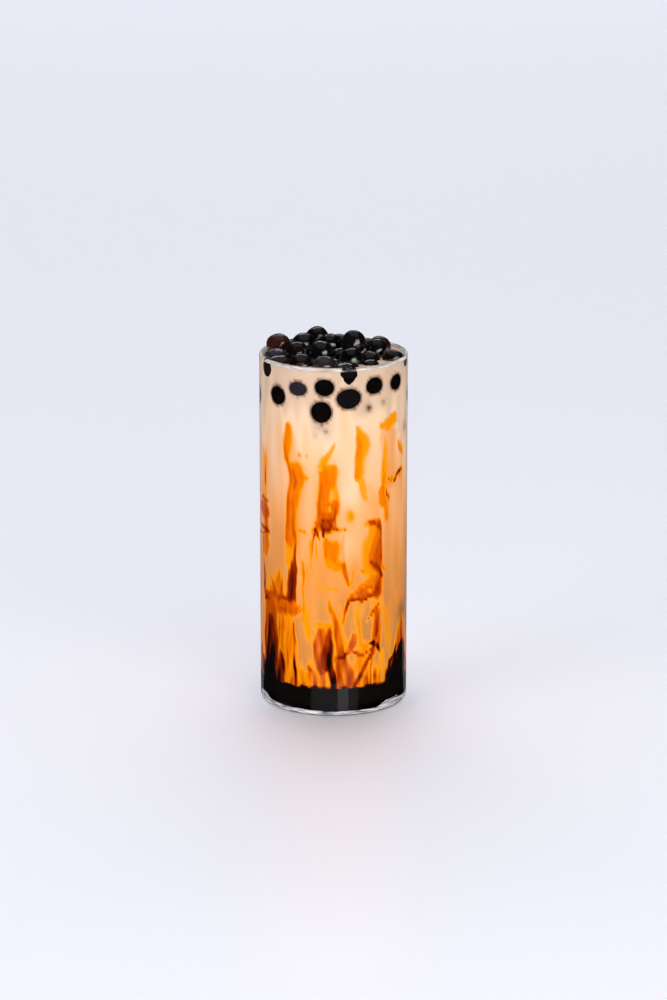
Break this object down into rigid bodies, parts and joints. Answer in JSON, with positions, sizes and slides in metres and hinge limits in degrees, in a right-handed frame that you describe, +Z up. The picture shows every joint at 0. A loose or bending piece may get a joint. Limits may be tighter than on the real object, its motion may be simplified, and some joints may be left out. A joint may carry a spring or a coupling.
{
  "type": "bubble tea",
  "caption": "Straight clear glass of milk tea streaked with brown sugar syrup, with tapioca pearls against its wall and heaped above its brim.",
  "frame": {"origin": "middle of the plane that the glass stands on, on the glass's axis", "axes": "+Z up along the glass, -Y the side that the picture shows, +X to its right"},
  "size_m": [0.062, 0.062, 0.1591],
  "materials": {
    "clear_glass": "clear, fire polished",
    "milk_tea": "creamy liquid streaked with syrup",
    "brown_sugar_syrup": "thick dark liquid",
    "tapioca_pearl": "wet and glossy"
  },
  "bodies": {
    "root": {"glass": "clear_glass", "milk_tea": "milk_tea", "syrup": "brown_sugar_syrup", "pearl_heap": "tapioca_pearl", "wall_pearl_01": "tapioca_pearl", "wall_pearl_02": "tapioca_pearl", "wall_pearl_03": "tapioca_pearl", "wall_pearl_04": "tapioca_pearl", "wall_pearl_05": "tapioca_pearl", "wall_pearl_06": "tapioca_pearl", "wall_pearl_07": "tapioca_pearl", "wall_pearl_08": "tapioca_pearl", "wall_pearl_09": "tapioca_pearl", "wall_pearl_10": "tapioca_pearl", "wall_pearl_11": "tapioca_pearl", "wall_pearl_12": "tapioca_pearl", "wall_pearl_13": "tapioca_pearl", "wall_pearl_14": "tapioca_pearl"}
  },
  "joints": []
}
